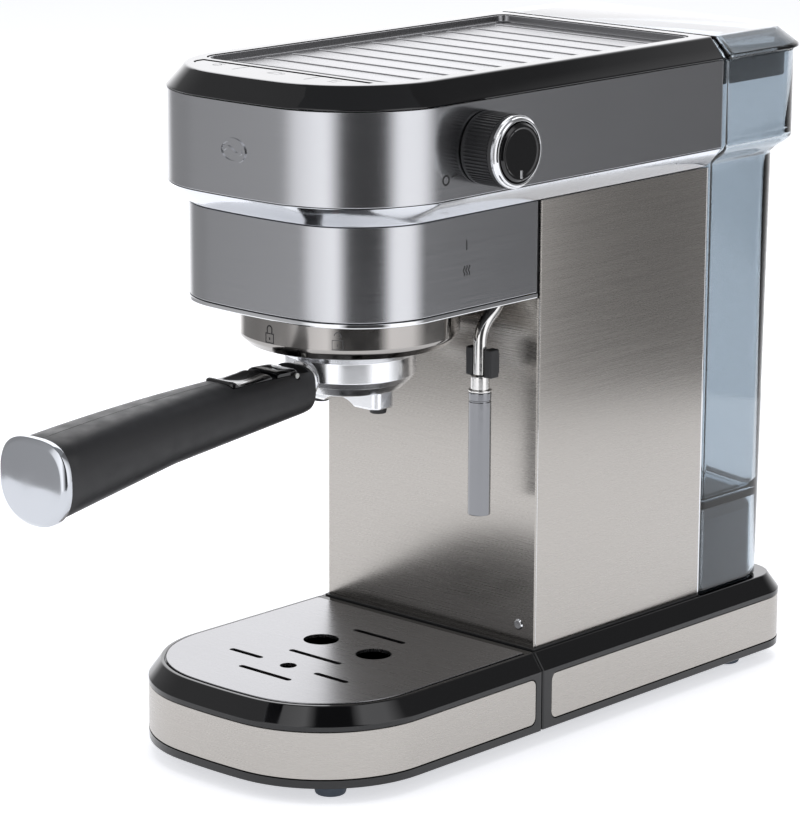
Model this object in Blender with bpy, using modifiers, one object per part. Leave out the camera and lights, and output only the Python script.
"""Slim pump espresso machine: base, drip tray, column, head, group, portafilter, steam wand and water tank.

Lengths are in millimetres and are turned to metres by MM. The machine's own axes have X = 0 on its
mid-plane (knob towards +X), Y = 0 on the column's front face (drip tray towards -Y) and Z = 0 on the
worktop. The empty "machine" moves all of it, so that the world origin is the centre of its footprint.
"""
import math

import bmesh
import bpy
from mathutils import Matrix, Vector

MM = 0.001
GAP = 0.35                  # clearance between neighbouring pieces

# Overall
HEIGHT = 304.1
KNOB_END = 92.0             # x of the knob's face
LID_HALF = 73.5
HANDLE_END = -239.0         # y of the handle's end cap
LID_REAR = 185.3

# Base and drip tray
BASE_HALF = 70.8
BASE_FRONT = -140.5
BASE_REAR = 184.5
BASE_FRONT_RADIUS = 55.0
BASE_REAR_RADIUS = 21.0
BASE_BOW = 8.0              # how far the front bows out
BASE_LOW = 7.0
BEVEL_LOW = 34.5            # foot of the gloss bevel
BASE_TOP = 42.0
BASE_BEVEL = 5.5            # how far the bevel leans in
SEAM_Y = -3.0               # where the tray unit meets the rear housing
BAND_LOW, BAND_HIGH = 10.5, 32.3
BAND_DEPTH = 1.3

# Column
COLUMN_HALF = 62.8
COLUMN_REAR = 117.8
SHEET = 1.3
COLUMN_TOP = 244.5

# Head
HEAD_FRONT = -113.5
HEAD_RADIUS = 41.0
HEAD_BOW = 7.0
HEAD_LOW = 204.2
STRIP_LOW, STRIP_HIGH = 244.8, 254.1
UPPER_HALF = 71.0
UPPER_FRONT = -123.5
UPPER_RADIUS = 51.0
UPPER_REAR = 118.4
UPPER_HIGH = 294.2
TOP_HALF = 63.4
TOP_FRONT = -117.5
TOP_RADIUS = 47.0
CUP_HALF = 57.0
CUP_FRONT = -88.0
CUP_REAR = 113.0
CUP_FLOOR = 299.0
KEY_FRONT = -105.0
KEY_REAR = -91.0
KEY_HALF = 50.0
KEY_SPLIT = 21.0            # |x| of the gaps between the keys
KEY_GAP = 0.5

# Knob and steam wand
KNOB_Y, KNOB_Z = -46.0, 274.4
KNOB_RADIUS = 15.7
WAND_X, WAND_Y, WAND_Z = 50.0, -10.0, 207.0
WAND_DROP_Y = -23.0

# Group and portafilter
GROUP_Y = -52.7
COLLAR_RADIUS = 48.3
COLLAR_LOW, COLLAR_HIGH = 183.0, 201.4
CUP_RADIUS = 29.3
SPOUT_X = 16.0
HANDLE_START = -85.5
LEVER_Y, LEVER_Z = -96.0, 174.8

# Tank
TANK_FRONT = 119.3
TANK_REAR = 183.5
TANK_WALL = 2.2
TANK_LOW = 43.0
TANK_FLOOR = 82.0
TANK_TOP = 293.8
LID_PIVOT_Y, LID_PIVOT_Z = 122.5, 302.0
LID_LOW = 294.8

COLOURS = {
    "brushed_steel": ((0.56, 0.55, 0.53), 0.32, 1.0),
    "chrome": ((0.83, 0.83, 0.84), 0.06, 1.0),
    "gloss_black": ((0.008, 0.008, 0.010), 0.08, 0.0),
    "satin_black": ((0.018, 0.018, 0.019), 0.45, 0.0),
    "rubber": ((0.045, 0.055, 0.070), 0.75, 0.0),
    "smoke_plastic": ((0.36, 0.44, 0.50), 0.10, 0.0),
    "grey_plastic": ((0.09, 0.10, 0.12), 0.45, 0.0),
    "cast_aluminium": ((0.50, 0.50, 0.50), 0.45, 1.0),
    "silicone": ((0.62, 0.60, 0.56), 0.55, 0.0),
    "circuit_board": ((0.03, 0.16, 0.07), 0.50, 0.0),
    "red_plastic": ((0.50, 0.02, 0.02), 0.35, 0.0),
    "brass": ((0.62, 0.45, 0.18), 0.30, 1.0),
}


def clear_scene():
    for thing in list(bpy.data.objects):
        bpy.data.objects.remove(thing, do_unlink=True)


def new_collection(name):
    collection = bpy.data.collections.new(name)
    bpy.context.scene.collection.children.link(collection)
    return collection


def make_material(name):
    colour, roughness, metallic = COLOURS[name]
    material = bpy.data.materials.new(name)
    material.use_nodes = True
    shader = material.node_tree.nodes["Principled BSDF"]
    shader.inputs["Base Color"].default_value = (*colour, 1.0)
    shader.inputs["Roughness"].default_value = roughness
    shader.inputs["Metallic"].default_value = metallic
    return material


clear_scene()
PARTS = new_collection("espresso_machine")
CUTTERS = new_collection("cutters")
MATERIALS = {name: make_material(name) for name in COLOURS}
MACHINE = bpy.data.objects.new("machine", None)
MACHINE.location = (-(KNOB_END - LID_HALF) / 2 * MM, -(LID_REAR + HANDLE_END) / 2 * MM, 0.0)
PARTS.objects.link(MACHINE)


def from_bmesh(name, mesh_tool):
    mesh = bpy.data.meshes.new(name)
    mesh_tool.to_mesh(mesh)
    mesh_tool.free()
    thing = bpy.data.objects.new(name, mesh)
    bpy.context.scene.collection.objects.link(thing)
    return thing


def outline(half, front, rear, front_radius, rear_radius, bow=0.0):
    """Plan outline, anticlockwise from the front centre: bowed front, two round corners each side."""
    corner_x = half - front_radius
    if bow > 0.0:
        bow_radius = (half ** 2 + bow ** 2) / (2.0 * bow)
        swing = math.asin(corner_x / (bow_radius - front_radius))
        corner_y = front + bow_radius - (bow_radius - front_radius) * math.cos(swing)
        right = [(bow_radius * math.sin(swing * i / 3), front + bow_radius * (1 - math.cos(swing * i / 3)))
                 for i in range(3)]
        steps = 7
    else:
        swing = 0.0
        corner_y = front + front_radius
        right = []
        steps = 3
    for i in range(steps + 1):
        turn = swing + (math.pi / 2 - swing) * i / steps
        right.append((corner_x + front_radius * math.sin(turn), corner_y - front_radius * math.cos(turn)))
    for i in range(4):
        turn = math.pi / 2 * (1 + i / 3)
        right.append((half - rear_radius + rear_radius * math.sin(turn),
                      rear - rear_radius - rear_radius * math.cos(turn)))
    left = [(-x, y) for x, y in reversed(right) if x > 0.0]
    return right + left


def at_height(points, z):
    return [(x, y, z) for x, y in points]


def loft(name, rings, closed=False):
    """Skin over rings of equal count; a closed loft joins the last ring to the first, an open one is capped."""
    mesh_tool = bmesh.new()
    rows = [[mesh_tool.verts.new(Vector(p) * MM) for p in ring] for ring in rings]
    pairs = list(zip(rows, rows[1:]))
    if closed:
        pairs.append((rows[-1], rows[0]))
    for low, high in pairs:
        for i in range(len(low)):
            j = (i + 1) % len(low)
            mesh_tool.faces.new((low[i], low[j], high[j], high[i]))
    if not closed:
        mesh_tool.faces.new(list(reversed(rows[0])))
        mesh_tool.faces.new(rows[-1])
    return from_bmesh(name, mesh_tool)


def plate(name, points, low, high):
    """A flat outline with thickness, made as a filled 2D curve and then a mesh."""
    curve = bpy.data.curves.new(name, "CURVE")
    curve.dimensions = "2D"
    curve.fill_mode = "BOTH"
    curve.extrude = (high - low) / 2 * MM
    spline = curve.splines.new("POLY")
    spline.points.add(len(points) - 1)
    for spot, (x, y) in zip(spline.points, points):
        spot.co = (x * MM, y * MM, 0.0, 1.0)
    spline.use_cyclic_u = True
    flat = bpy.data.objects.new(name, curve)
    flat.location.z = (low + high) / 2 * MM
    return curve_to_mesh(flat)


def curve_to_mesh(flat):
    bpy.context.scene.collection.objects.link(flat)
    bpy.context.view_layer.update()
    seen = flat.evaluated_get(bpy.context.evaluated_depsgraph_get())
    mesh = bpy.data.meshes.new_from_object(seen)
    place, name = flat.matrix_world.copy(), flat.name
    bpy.data.objects.remove(flat, do_unlink=True)
    mesh_tool = bmesh.new()
    mesh_tool.from_mesh(mesh)
    bmesh.ops.remove_doubles(mesh_tool, verts=mesh_tool.verts, dist=0.000001)
    mesh_tool.transform(place)
    return from_bmesh(name, mesh_tool)


def block(name, low, high, bevel=0.0):
    """A box between two corners, with its edges rounded by a Bevel modifier."""
    mesh_tool = bmesh.new()
    bmesh.ops.create_cube(mesh_tool, size=1.0)
    low, high = Vector(low), Vector(high)
    mesh_tool.transform(Matrix.Translation((low + high) / 2 * MM) @ Matrix.Diagonal((*((high - low) * MM), 1.0)))
    thing = from_bmesh(name, mesh_tool)
    if bevel:
        round_edges(thing, bevel)
    return thing


def round_edges(thing, width, segments=2):
    modifier = thing.modifiers.new("rounded", "BEVEL")
    modifier.width = width * MM
    modifier.segments = segments
    modifier.limit_method = "ANGLE"


def rod(name, start, end, radius, end_radius=None, sides=24):
    """A cylinder or cone from start to end."""
    start, end = Vector(start), Vector(end)
    mesh_tool = bmesh.new()
    bmesh.ops.create_cone(mesh_tool, cap_ends=True, segments=sides, radius1=radius * MM,
                          radius2=(radius if end_radius is None else end_radius) * MM,
                          depth=(end - start).length * MM)
    turn = Vector((0, 0, 1)).rotation_difference(end - start).to_matrix().to_4x4()
    mesh_tool.transform(Matrix.Translation((start + end) / 2 * MM) @ turn)
    return from_bmesh(name, mesh_tool)


def turned(name, profile, centre, axis=(0, 0, 1), steps=32, ring=False):
    """A profile of (radius, height) pairs, outer side downwards, spun by a Screw modifier about the axis."""
    mesh_tool = bmesh.new()
    chain = [mesh_tool.verts.new((radius * MM, 0.0, height * MM)) for radius, height in profile]
    for first, second in zip(chain, chain[1:] + (chain[:1] if ring else [])):
        mesh_tool.edges.new((first, second))
    thing = from_bmesh(name, mesh_tool)
    thing.location = Vector(centre) * MM
    thing.rotation_euler = Vector((0, 0, 1)).rotation_difference(Vector(axis)).to_euler()
    screw = thing.modifiers.new("turned", "SCREW")
    screw.steps = steps
    screw.render_steps = steps
    screw.use_merge_vertices = True
    screw.merge_threshold = 0.00001
    return thing


def tube(name, points, radius):
    """A round tube or hose along points, closed at its ends."""
    curve = bpy.data.curves.new(name, "CURVE")
    curve.dimensions = "3D"
    curve.bevel_depth = radius * MM
    curve.bevel_resolution = 2
    curve.use_fill_caps = True
    spline = curve.splines.new("POLY")
    spline.points.add(len(points) - 1)
    for spot, point in zip(spline.points, points):
        spot.co = (*(Vector(point) * MM), 1.0)
    return curve_to_mesh(bpy.data.objects.new(name, curve))


def bend(points, steps=4):
    """Rounded route through the points: each inner corner becomes a quadratic curve."""
    route = [Vector(points[0])]
    for before, corner, after in zip(points, points[1:], points[2:]):
        start = (Vector(before) + Vector(corner)) / 2
        end = (Vector(corner) + Vector(after)) / 2
        for i in range(steps + 1):
            t = i / steps
            route.append(start * (1 - t) ** 2 + Vector(corner) * 2 * t * (1 - t) + end * t ** 2)
    route.append(Vector(points[-1]))
    return route


def combine(thing, other, how):
    """Boolean the other shape out of, or into, a piece; the other stays as a hidden wire guide."""
    bpy.context.scene.collection.objects.unlink(other)
    CUTTERS.objects.link(other)
    other.parent = MACHINE
    other.hide_render = True
    other.display_type = "WIRE"
    modifier = thing.modifiers.new(other.name, "BOOLEAN")
    modifier.operation = how
    modifier.solver = "EXACT"
    modifier.object = other


def cut(thing, *cutters):
    for cutter in cutters:
        combine(thing, cutter, "DIFFERENCE")


def weld(thing, *additions):
    for addition in additions:
        combine(thing, addition, "UNION")


def joint_empty(pivot):
    """The empty on a joint's axis that carries the turned pieces which move about it."""
    name = "axis_{:.0f}_{:.0f}_{:.0f}".format(*pivot)
    hold = bpy.data.objects.get(name)
    if hold is None:
        hold = bpy.data.objects.new(name, None)
        PARTS.objects.link(hold)
        hold.location = Vector(pivot) * MM
        hold.parent = MACHINE
    return hold


def finish(thing, material, pivot=None):
    """File a piece with its material; a moving piece gets its origin, or its parent, on its joint's axis."""
    bpy.context.scene.collection.objects.unlink(thing)
    PARTS.objects.link(thing)
    thing.parent = MACHINE
    if pivot is not None and thing.modifiers and thing.modifiers[0].type == "SCREW":
        thing.parent = joint_empty(pivot)
        thing.location -= Vector(pivot) * MM
    elif pivot is not None:
        thing.data.transform(Matrix.Translation(-Vector(pivot) * MM))
        thing.location = Vector(pivot) * MM
    thing.data.materials.append(MATERIALS[material])
    thing.data.shade_smooth()
    thing.data.set_sharp_from_angle(angle=math.radians(35))
    return thing


def base_outline(inset, front=BASE_FRONT, rear=BASE_REAR, rear_radius=BASE_REAR_RADIUS):
    return outline(BASE_HALF - inset, front + inset, rear - inset, BASE_FRONT_RADIUS - inset,
                   rear_radius - inset, BASE_BOW)


def tray_outline(inset, rear=SEAM_Y, radius=1.0):
    return outline(BASE_HALF - inset, BASE_FRONT + inset, rear, BASE_FRONT_RADIUS - inset, radius, BASE_BOW)


def rear_outline(inset, front=SEAM_Y + 0.4):
    return outline(BASE_HALF - inset, front, BASE_REAR - inset, 1.0, BASE_REAR_RADIUS - inset)


def build_base():
    bottom = plate("base_plate", base_outline(4.1), BASE_LOW, BASE_LOW + 2.6)
    finish(bottom, "satin_black")
    for row, y, x in (("front", -112.0, 45.0), ("rear", 152.0, 54.0)):
        for side, sign in (("left", -1), ("right", 1)):
            foot = rod(f"foot_{row}_{side}", (sign * x, y, 0), (sign * x, y, BASE_LOW - GAP), 6.5, 8.0)
            finish(foot, "rubber")

    housing = loft("rear_housing", [
        at_height(rear_outline(8.0, 0.0), 39.5),
        at_height(rear_outline(3.4, 0.0), 33.0),
        at_height(rear_outline(3.4, 0.0), BASE_LOW),
        at_height(rear_outline(0.0), BASE_LOW),
        at_height(rear_outline(0.0), BEVEL_LOW),
        at_height(rear_outline(BASE_BEVEL), BASE_TOP)])
    slot = block("plate_slot", (-67.0, -9.0, 0.0), (67.0, 5.0, BASE_LOW + 3.0))
    groove = loft("rear_band_groove", [
        at_height(rear_outline(BAND_DEPTH, 3.0), BAND_LOW),
        at_height(rear_outline(-4.0, 3.0), BAND_LOW),
        at_height(rear_outline(-4.0, 3.0), BAND_HIGH),
        at_height(rear_outline(BAND_DEPTH, 3.0), BAND_HIGH)], closed=True)
    hollow = block("rear_band_front_end", (-90.0, -10.0, BAND_LOW - 1), (90.0, 5.5, BAND_HIGH + 1))
    cut(groove, hollow)
    gland_hole = rod("gland_hole", (-38, 170, 21.4), (-38, 195, 21.4), 6.4)
    cut(housing, slot, gland_hole, groove)
    finish(housing, "gloss_black")

    band = loft("rear_band", [
        at_height(rear_outline(BAND_DEPTH - GAP, 4.0), BAND_LOW + GAP),
        at_height(rear_outline(0.15, 4.0), BAND_LOW + GAP),
        at_height(rear_outline(0.15, 4.0), BAND_HIGH - GAP),
        at_height(rear_outline(BAND_DEPTH - GAP, 4.0), BAND_HIGH - GAP)], closed=True)
    open_front = block("rear_band_opening", (-90.0, -10.0, 0.0), (90.0, 5.9, 50.0))
    band_hole = rod("rear_band_hole", (-38, 170, 21.4), (-38, 195, 21.4), 6.4)
    cut(band, open_front, band_hole)
    finish(band, "brushed_steel")

    gland = turned("cable_gland", [(6.0, 0.8), (6.0, -8.0), (3.6, -8.0), (3.6, 0.8)], (-38, BASE_REAR, 21.4),
                   (0, 1, 0), steps=20, ring=True)
    finish(gland, "satin_black")


def build_tray():
    tray = loft("tray_body", [
        at_height(tray_outline(0.0), BASE_LOW),
        at_height(tray_outline(0.0), BEVEL_LOW),
        at_height(tray_outline(BASE_BEVEL), BASE_TOP),
        at_height(tray_outline(7.3, -6.4), BASE_TOP),
        at_height(tray_outline(7.3, -6.4), 40.5),
        at_height(tray_outline(11.0, -9.5), 40.5),
        at_height(tray_outline(11.0, -9.5), 38.0),
        at_height(tray_outline(5.5, -5.6), 35.0),
        at_height(tray_outline(5.5, -5.6), 12.6)])
    tongue = plate("tray_recess", tray_outline(3.4, 20.0), 0.0, BASE_LOW + 3.0)
    groove = loft("tray_band_groove", [
        at_height(tray_outline(BAND_DEPTH, 30.0), BAND_LOW),
        at_height(tray_outline(-4.0, 30.0), BAND_LOW),
        at_height(tray_outline(-4.0, 30.0), BAND_HIGH),
        at_height(tray_outline(BAND_DEPTH, 30.0), BAND_HIGH)], closed=True)
    rear_end = block("tray_band_rear_end", (-90.0, SEAM_Y - 4.0, 0.0), (90.0, 60.0, 50.0))
    cut(groove, rear_end)
    cut(tray, tongue, groove)
    finish(tray, "gloss_black", (0, SEAM_Y, BASE_LOW))

    band = loft("tray_band", [
        at_height(tray_outline(BAND_DEPTH - GAP, 30.0), BAND_LOW + GAP),
        at_height(tray_outline(0.15, 30.0), BAND_LOW + GAP),
        at_height(tray_outline(0.15, 30.0), BAND_HIGH - GAP),
        at_height(tray_outline(BAND_DEPTH - GAP, 30.0), BAND_HIGH - GAP)], closed=True)
    open_rear = block("tray_band_opening", (-90.0, SEAM_Y - 4.4, 0.0), (90.0, 60.0, 50.0))
    cut(band, open_rear)
    finish(band, "brushed_steel", (0, SEAM_Y, BASE_LOW))

    grid = plate("drip_grid", tray_outline(7.9, -6.9), 40.5 + GAP, BASE_TOP + 0.4)
    holes = []
    for x in (-SPOUT_X, SPOUT_X):
        holes.append(rod("spout_hole", (x, -54, 30), (x, -54, 50), 8.0, sides=20))
    holes.append(rod("centre_hole", (0, -91.5, 30), (0, -91.5, 50), 3.75, sides=12))
    for y, inner, outer in ((-33, -15.5, 15.5), (-74.5, -15.5, 15.5), (-106, -15.5, 15.5),
                            (-91.5, 16.0, 35.7), (-91.5, -35.7, -16.0)):
        holes.append(block("drain_slot", (inner, y - 1.5, 30), (outer, y + 1.5, 50)))
    cut(grid, *holes)
    finish(grid, "brushed_steel", (0, SEAM_Y, 42.0))

    float_piece = block("water_float", (-11, -110, 13.0), (11, -102, 20.0), 1.0)
    weld(float_piece, block("float_fin", (-9, -106.8, 19.0), (9, -105.2, 39.4)))
    finish(float_piece, "red_plastic", (0, -106, 20.0))


def build_column():
    inner = COLUMN_HALF - SHEET - GAP
    frame = loft("column_frame", [
        at_height(outline(inner, SHEET + GAP, COLUMN_REAR, 1.0, 1.0), BASE_TOP + GAP),
        at_height(outline(inner, SHEET + GAP, COLUMN_REAR, 1.0, 1.0), COLUMN_TOP - 0.5),
        at_height(outline(inner - 2, SHEET + GAP + 2, COLUMN_REAR - 2, 1.0, 1.0), COLUMN_TOP - 0.5),
        at_height(outline(inner - 2, SHEET + GAP + 2, COLUMN_REAR - 2, 1.0, 1.0), BASE_TOP + GAP)], closed=True)
    finish(frame, "satin_black")
    front = block("column_front_panel", (-COLUMN_HALF, 0, BASE_TOP + GAP), (COLUMN_HALF, SHEET, 201.5))
    finish(front, "brushed_steel")
    for side, sign in (("left", -1), ("right", 1)):
        low = min(sign * COLUMN_HALF, sign * (COLUMN_HALF - SHEET))
        panel = block(f"column_panel_{side}", (low, SHEET + GAP, BASE_TOP + GAP),
                      (low + SHEET, COLUMN_REAR, COLUMN_TOP))
        finish(panel, "brushed_steel")

    pump = turned("pump", [(0, 78), (4.5, 78), (4.5, 66), (12, 66), (12, 56), (21, 56), (21, 16), (13, 16),
                           (13, 8), (4.5, 8), (4.5, 0), (0, 0)], (0, 62, 66), steps=20)
    finish(pump, "grey_plastic")
    bracket = block("pump_bracket", (-40, 30, 52), (40, 94, 54.5), 1.0)
    for x in (-34, 34):
        weld(bracket, block("bracket_leg", (x - 3, 50, BASE_TOP + GAP), (x + 3, 74, 53)))
    for x in (-27, 24):
        weld(bracket, block("bracket_arm", (x, 52, 53), (x + 3, 72, 112)))
    cut(bracket, rod("bracket_port", (0, 62, 40), (0, 62, 60), 7.0))
    finish(bracket, "satin_black")
    suction = tube("suction_hose", bend([(0, 112, 50), (0, 76, 47.4), (0, 63, 47.4), (0, 62, 56), (0, 62, 65.5)]), 2.6)
    finish(suction, "silicone")
    pressure = tube("pressure_hose", bend([(0, 62, 144.6), (0, 62, 190), (0, 66, 225), (0, 62, 265),
                                           (0, 20, 268), (0, -17.4, 268)]), 2.4)
    finish(pressure, "silicone")


def head_outline(inset, rear=-GAP, rear_radius=1.0):
    return outline(COLUMN_HALF - inset, HEAD_FRONT + inset, rear, HEAD_RADIUS - inset, rear_radius, HEAD_BOW)


def upper_outline(inset, rear=UPPER_REAR):
    return outline(UPPER_HALF - inset, UPPER_FRONT + inset, rear, UPPER_RADIUS - inset, 2.0, HEAD_BOW)


def top_outline(inset, rear=UPPER_REAR):
    return outline(TOP_HALF - inset, TOP_FRONT + inset, rear, TOP_RADIUS - inset, 2.0, HEAD_BOW)


def build_head():
    lower = loft("head_lower_wrap", [
        at_height(head_outline(0), HEAD_LOW), at_height(head_outline(0), COLUMN_TOP),
        at_height(head_outline(SHEET, -1.6), COLUMN_TOP), at_height(head_outline(SHEET, -1.6), HEAD_LOW)], closed=True)
    finish(lower, "brushed_steel")
    trim = loft("head_bottom_trim", [
        at_height(head_outline(-0.5), HEAD_LOW - 2.3), at_height(head_outline(-0.5), HEAD_LOW - GAP),
        at_height(head_outline(3.0, -4.0), HEAD_LOW - GAP),
        at_height(head_outline(3.0, -4.0), HEAD_LOW - 2.3)], closed=True)
    finish(trim, "chrome")
    underside = plate("head_underside", head_outline(3.5, -4.5), HEAD_LOW - 1.6, HEAD_LOW + 0.9)
    cut(underside, rod("group_opening", (0, GROUP_Y, 190), (0, GROUP_Y, 215), 39.4, sides=40),
        rod("wand_opening", (WAND_X, WAND_Y, 190), (WAND_X, WAND_Y, 215), 8.4))
    finish(underside, "satin_black")

    strip = loft("chrome_strip", [
        at_height(outline(COLUMN_HALF, HEAD_FRONT, UPPER_REAR, HEAD_RADIUS, 2.0, HEAD_BOW), STRIP_LOW),
        at_height(upper_outline(0), STRIP_HIGH),
        at_height(upper_outline(3.0, UPPER_REAR - 2), STRIP_HIGH),
        at_height(outline(COLUMN_HALF - 3, HEAD_FRONT + 3, UPPER_REAR - 2, HEAD_RADIUS - 3, 2.0, HEAD_BOW),
                  STRIP_LOW)], closed=True)
    finish(strip, "chrome")
    chassis = plate("head_chassis", outline(COLUMN_HALF - 4, HEAD_FRONT + 4, UPPER_REAR - 3, HEAD_RADIUS - 4, 2.0,
                                            HEAD_BOW), STRIP_LOW + 0.8, STRIP_LOW + 3.8)
    cut(chassis, rod("steam_pipe_hole", (WAND_X, WAND_Y, 230), (WAND_X, WAND_Y, 260), 5.0),
        rod("hose_hole", (0, 65, 230), (0, 65, 260), 8.0))
    finish(chassis, "satin_black")

    upper = loft("head_upper_wrap", [
        at_height(upper_outline(0), STRIP_HIGH + GAP), at_height(upper_outline(0), UPPER_HIGH),
        at_height(upper_outline(SHEET, UPPER_REAR - SHEET), UPPER_HIGH),
        at_height(upper_outline(SHEET, UPPER_REAR - SHEET), STRIP_HIGH + GAP)], closed=True)
    cut(upper, rod("shaft_hole", (60, KNOB_Y, KNOB_Z), (80, KNOB_Y, KNOB_Z), 4.0, sides=20))
    finish(upper, "brushed_steel")

    top = loft("top_frame", [
        at_height(top_outline(1.0, UPPER_REAR - 3), 297.0),
        at_height(upper_outline(2.0, UPPER_REAR - 2), UPPER_HIGH + GAP),
        at_height(upper_outline(0), UPPER_HIGH + GAP),
        at_height(top_outline(0), HEIGHT)])
    recess = plate("cup_recess", outline(CUP_HALF, CUP_FRONT, CUP_REAR, 10.0, 6.0), CUP_FLOOR, HEIGHT + 5)
    window = plate("key_window", outline(KEY_HALF, KEY_FRONT, KEY_REAR, 8.0, 1.5, 5.0), 280.0, HEIGHT + 9)
    cut(top, recess, window)
    finish(top, "gloss_black")
    cups = plate("cup_plate", outline(CUP_HALF - 0.4, CUP_FRONT + 0.4, CUP_REAR - 0.4, 9.6, 5.6),
                 CUP_FLOOR + GAP, CUP_FLOOR + 1.6)
    finish(cups, "brushed_steel")

    for name, start, end in (("left", -KEY_HALF, -KEY_SPLIT), ("middle", -KEY_SPLIT, KEY_SPLIT),
                             ("right", KEY_SPLIT, KEY_HALF)):
        key = plate(f"key_{name}", outline(KEY_HALF - 0.4, KEY_FRONT + 0.4, KEY_REAR - 0.4, 7.6, 1.1, 4.9),
                    298.2, HEIGHT - 0.3)
        span = block(f"key_{name}_span", (start + KEY_GAP / 2, -120, 290), (end - KEY_GAP / 2, -80, 310))
        combine(key, span, "INTERSECT")
        finish(key, "gloss_black", ((start + end) / 2, KEY_REAR, HEIGHT))
    board = block("control_board", (-45, -106, 290.5), (45, -84, 292.1))
    finish(board, "circuit_board")
    thermoblock = block("thermoblock", (-46, -84, 249.2), (34, -18, 283.0), 3.0)
    finish(thermoblock, "cast_aluminium")


def build_knob():
    centre = (0, KNOB_Y, KNOB_Z)
    grip = turned("knob_grip", [(0, 87.6), (KNOB_RADIUS - 1.0, 87.6), (KNOB_RADIUS, 86.4), (KNOB_RADIUS, 71.5),
                                (3.4, 71.5), (3.4, 80.0), (0, 80.0)], centre, (1, 0, 0))
    finish(grip, "satin_black", centre)
    ring = turned("knob_ring", [(14.6, 91.0), (15.4, 90.0), (15.4, 87.95), (12.8, 87.95), (12.8, 91.0)],
                  centre, (1, 0, 0), ring=True)
    finish(ring, "chrome", centre)
    face = turned("knob_face", [(0, KNOB_END), (11.5, KNOB_END), (12.4, 91.2), (12.4, 87.95), (0, 87.95)],
                  centre, (1, 0, 0))
    finish(face, "gloss_black", centre)
    shaft = rod("knob_shaft", (60.5, KNOB_Y, KNOB_Z), (79.6, KNOB_Y, KNOB_Z), 3.0, sides=16)
    finish(shaft, "brass", centre)


def build_steam():
    valve = block("steam_valve", (40, KNOB_Y - 13, KNOB_Z - 12), (60, KNOB_Y + 13, KNOB_Z + 12), 1.5)
    finish(valve, "brass")
    pipe = tube("steam_pipe", bend([(52, KNOB_Y, KNOB_Z - 12.4), (52, KNOB_Y, 254), (WAND_X, WAND_Y, 256),
                                    (WAND_X, WAND_Y, 244), (WAND_X, WAND_Y, 214.6)]), 2.4)
    finish(pipe, "cast_aluminium")
    socket = turned("wand_socket", [(7.5, 7.2), (7.5, -1.5), (5.6, -1.5), (6.2, 0), (5.6, 3.4), (4.0, 5.6), (4.0, 7.2)],
                    (WAND_X, WAND_Y, WAND_Z), steps=20, ring=True)
    finish(socket, "brass")

    pivot = (WAND_X, WAND_Y, WAND_Z)
    route = bend([(WAND_X, WAND_Y, WAND_Z), (WAND_X, WAND_Y - 1, 199), (WAND_X, WAND_DROP_Y, 190),
                  (WAND_X, WAND_DROP_Y, 178), (WAND_X, WAND_DROP_Y, 108)])
    arm = tube("wand_pipe", route, 3.0)
    ball = bmesh.new()
    bmesh.ops.create_uvsphere(ball, u_segments=20, v_segments=10, radius=5.2 * MM)
    ball.transform(Matrix.Translation(Vector(pivot) * MM))
    weld(arm, from_bmesh("wand_ball", ball))
    finish(arm, "chrome", pivot)
    grip = turned("wand_grip", [(6.2, 182), (6.8, 180), (6.8, 170), (6.2, 168), (3.4, 168), (3.4, 182)],
                  (WAND_X, WAND_DROP_Y, 0), steps=20, ring=True)
    finish(grip, "satin_black", pivot)
    sleeve = turned("wand_sleeve", [(5.0, 162), (5.0, 107), (3.4, 107), (3.4, 162)],
                    (WAND_X, WAND_DROP_Y, 0), steps=24, ring=True)
    finish(sleeve, "brushed_steel", (WAND_X, WAND_DROP_Y, 162))


def build_group():
    centre = (0, GROUP_Y, 0)
    collar = turned("group_collar", [
        (COLLAR_RADIUS, COLLAR_HIGH), (COLLAR_RADIUS, COLLAR_LOW + 3), (COLLAR_RADIUS - 0.9, COLLAR_LOW + 0.9),
        (COLLAR_RADIUS - 3, COLLAR_LOW), (38.0, COLLAR_LOW), (38.0, 187.0), (41.5, 187.0), (41.5, COLLAR_HIGH)],
        centre, steps=40, ring=True)
    for angle in (math.radians(45), math.radians(225)):
        reach = Vector((math.cos(angle), math.sin(angle), 0)) * 36
        gap = block("lug_gap", (-9, -9, 180), (9, 9, 187.5))
        gap.location = reach * MM + Vector(centre) * MM
        cut(collar, gap)
    finish(collar, "chrome")
    head = turned("group_head", [
        (0, 245.0), (30, 245.0), (30, 212), (38.6, 212), (38.6, 199.0), (2.5, 199.0), (2.5, 209.0), (0, 209.0)],
        centre)
    finish(head, "cast_aluminium")
    gasket = turned("group_gasket", [(36.5, 198.6), (36.5, 196.0), (30.0, 196.0), (30.0, 198.6)], centre, ring=True)
    finish(gasket, "silicone")
    screen = turned("shower_screen", [(28.8, 198.2), (28.8, 197.0), (2.5, 197.0), (2.5, 198.2)], centre, ring=True)
    finish(screen, "brushed_steel")
    screw = turned("screen_screw", [(0, 206), (2.0, 206), (2.0, 196.6), (4.5, 196.6), (4.0, 194.6), (0, 194.6)],
                   centre, steps=16)
    finish(screw, "brushed_steel")


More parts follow.
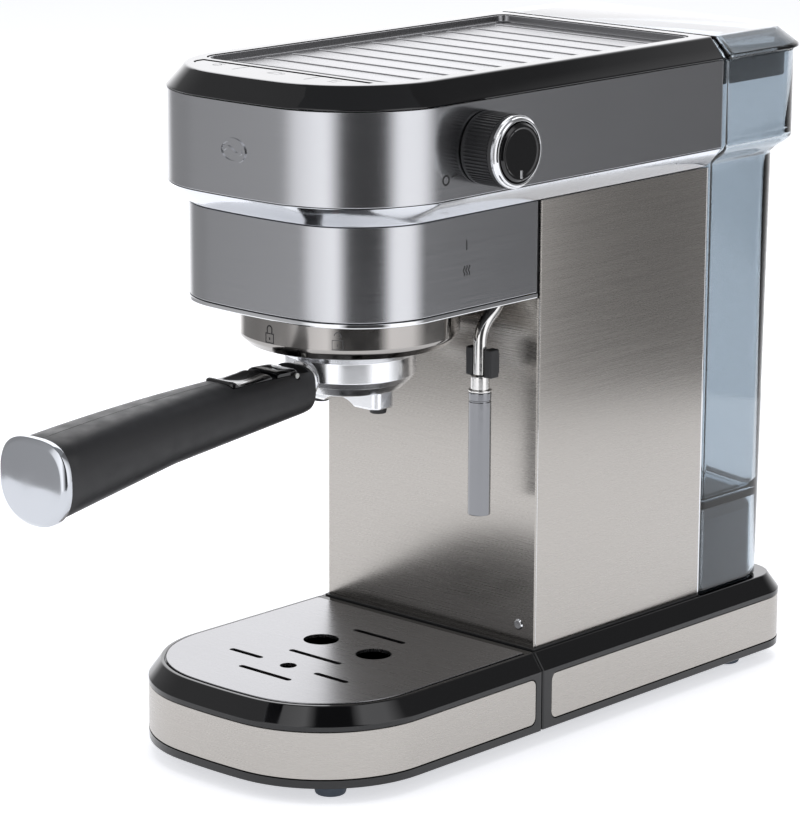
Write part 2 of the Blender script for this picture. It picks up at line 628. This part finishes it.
def build_portafilter():
    centre = (0, GROUP_Y, 0)
    body = turned("portafilter_body", [
        (31.2, 194.6), (36.6, 194.6), (36.6, 187.6), (CUP_RADIUS + 2, 184), (CUP_RADIUS, 181), (CUP_RADIUS, 172),
        (CUP_RADIUS - 2.0, 168), (CUP_RADIUS - 5, 166), (6.0, 166), (6.0, 168.5), (27.0, 168.5), (27.6, 171.0),
        (27.6, 178.0), (31.2, 181.5)], centre, ring=True)
    for sign in (-1, 1):
        lug = block("lug", (-7, -5, 188.2), (7, 5, 191.5))
        lug.rotation_euler.z = math.pi / 2
        lug.location = (Vector((sign * 35.6, GROUP_Y, 0))) * MM
        weld(body, lug)
    stub = rod("handle_stub", (0, GROUP_Y - 28.6, 169.2), (0, HANDLE_START - 6, 168.2), 5.4, sides=20)
    weld(body, stub)
    finish(body, "chrome", centre)
    basket = turned("filter_basket", [
        (0, 172.7), (26.0, 172.7), (26.4, 179.0), (29.8, 182.3), (30.0, 195.6), (34.5, 195.6), (34.5, 195.0),
        (30.6, 195.0), (30.4, 182.0), (27.0, 178.6), (26.6, 172.0), (0, 172.0)], centre)
    finish(basket, "brushed_steel", centre)

    spout = block("spout_block", (-21.5, GROUP_Y - 6.3, 154.5), (21.5, GROUP_Y + 6.3, 165.7), 1.8)
    weld(spout, rod("spout_bowl", (0, GROUP_Y, 159.4), (0, GROUP_Y, 165.7), 18.0, 27.0, sides=32))
    arch = rod("spout_arch", (0, GROUP_Y - 20, 143.4), (0, GROUP_Y + 20, 143.4), 14.6)
    cut(spout, arch)
    weld(spout, rod("spout_neck", (0, GROUP_Y, 163), (0, GROUP_Y, 168.2), 5.0, sides=16))
    for x in (-SPOUT_X, SPOUT_X):
        cut(spout, rod("spout_bore", (x, GROUP_Y, 150), (x, GROUP_Y, 162), 3.6, sides=16))
    finish(spout, "chrome", centre)

    shell = loft("handle_shell", [handle_ring(t) for t in (0.0, 0.12, 0.35, 0.65, 1.0)])
    bore = rod("stub_bore", (0, HANDLE_START + 8, 169.57), (0, HANDLE_START - 7.5, 168.05), 5.8, sides=20)
    notch = block("lever_notch", (-9.4, -133.6, 171.0), (9.4, -88.0, 190.0))
    pin_bore = rod("pin_bore", (-30, LEVER_Y, LEVER_Z), (30, LEVER_Y, LEVER_Z), 1.6, sides=12)
    cut(shell, bore, notch, pin_bore)
    finish(shell, "satin_black", centre)
    cap = loft("handle_cap", [handle_ring(1.0, 0.5, GAP), handle_ring(1.0, 1.2, 1.0), handle_ring(1.0, 1.2, 3.0),
                              handle_ring(1.0, -2.0, 5.3)])
    finish(cap, "chrome", centre)

    lever = block("retainer_lever", (-9.0, -133.0, 172.8), (9.0, -93.5, 177.6), 1.2)
    cut(lever, rod("lever_bore", (-30, LEVER_Y, LEVER_Z), (30, LEVER_Y, LEVER_Z), 1.6, sides=12))
    finish(lever, "gloss_black", (0, LEVER_Y, LEVER_Z))
    pin = rod("lever_pin", (-10.5, LEVER_Y, LEVER_Z), (10.5, LEVER_Y, LEVER_Z), 1.2, sides=12)
    finish(pin, "chrome", centre)


def handle_ring(t, swell=0.0, beyond=0.0, count=24):
    """Cross-section of the handle at t from neck to end: flat-topped oval, growing towards the end."""
    length = HANDLE_START - (HANDLE_END + 5.3)
    y = HANDLE_START - length * t - beyond
    top = 177.2 - 7.0 * t ** 2.3 + swell
    bottom = 161.3 - 25.3 * t - 5.8 * max(0.0, 1 - t / 0.55) - swell
    half = 12.2 + 6.8 * t + swell
    middle, tall = (top + bottom) / 2, (top - bottom) / 2
    ring = []
    for i in range(count):
        turn = 2 * math.pi * i / count
        c, s = math.cos(turn), math.sin(turn)
        power = 0.7 if s > 0 else 0.9
        ring.append((half * math.copysign(abs(c) ** power, c), y, middle + tall * math.copysign(abs(s) ** power, s)))
    return ring


def tank_outline(half, rear, inset, radius, front=TANK_FRONT):
    return outline(half - inset, front + inset, rear - inset, 3.0, radius - inset)


def build_tank():
    lower, upper = COLUMN_HALF, UPPER_HALF
    wall = TANK_WALL
    tank = loft("tank_body", [
        at_height(tank_outline(lower, 173.6, wall, 18), TANK_FLOOR),
        at_height(tank_outline(lower, 173.6, wall, 18), TANK_LOW),
        at_height(tank_outline(lower, 173.6, 0, 18), TANK_LOW),
        at_height(tank_outline(lower, 177.6, 0, 18), STRIP_LOW),
        at_height(tank_outline(upper, TANK_REAR, 0, 20), STRIP_HIGH),
        at_height(tank_outline(upper, TANK_REAR, 0, 20), TANK_TOP),
        at_height(tank_outline(upper, TANK_REAR, wall, 20), TANK_TOP),
        at_height(tank_outline(upper, TANK_REAR, wall, 20), STRIP_HIGH + 1),
        at_height(tank_outline(lower, 177.6, wall, 18), STRIP_LOW + 1),
        at_height(tank_outline(lower, 174.4, wall, 18), TANK_FLOOR + wall)])
    cut(tank, rod("valve_hole", (0, 147, 70), (0, 147, 95), 4.2, sides=16))
    finish(tank, "smoke_plastic", (0, 147, TANK_LOW))

    dock = loft("tank_dock", [
        at_height(tank_outline(lower, 173.6, 3.4, 18), BASE_TOP + GAP),
        at_height(tank_outline(lower, 173.6, 3.4, 18), 76.0),
        at_height(tank_outline(lower, 173.6, 7.0, 18), 79.5)])
    cut(dock, rod("dock_well", (0, 147, 66), (0, 147, 90), 9.0, sides=20))
    finish(dock, "grey_plastic")

    valve = turned("tank_valve", [(0, 90), (3.0, 90), (3.0, 87.5), (8.0, 87.5), (8.0, 84.6), (3.6, 84.6), (3.6, 75.0),
                                  (0, 75.0)], (0, 147, 0), steps=16)
    finish(valve, "red_plastic", (0, 147, 84.6))

    lid = loft("tank_lid", [
        at_height(outline(61.0, 124.0, 176.0, 3.0, 14.0), 301.6),
        at_height(outline(69.0, 122.0, 181.2, 3.0, 18.0), LID_LOW),
        at_height(outline(LID_HALF, 119.0, LID_REAR, 1.5, 22.0), LID_LOW),
        at_height(outline(LID_HALF, 119.0, LID_REAR, 1.5, 22.0), LID_LOW + 1.6),
        at_height(outline(64.0, 120.5, 177.0, 1.5, 16.0), HEIGHT)])
    finish(lid, "smoke_plastic", (0, LID_PIVOT_Y, LID_PIVOT_Z))
    skirt = loft("lid_skirt", [
        at_height(outline(66.5, 124.0, 177.4, 3.0, 14.0), 282.0),
        at_height(outline(66.5, 124.0, 177.4, 3.0, 14.0), TANK_TOP - 0.2),
        at_height(outline(64.7, 125.8, 175.6, 2.0, 13.0), TANK_TOP - 0.2),
        at_height(outline(64.7, 125.8, 175.6, 2.0, 13.0), 282.0)], closed=True)
    finish(skirt, "gloss_black", (0, LID_PIVOT_Y, LID_PIVOT_Z))


build_base()
build_tray()
build_column()
build_head()
build_knob()
build_steam()
build_group()
build_portafilter()
build_tank()
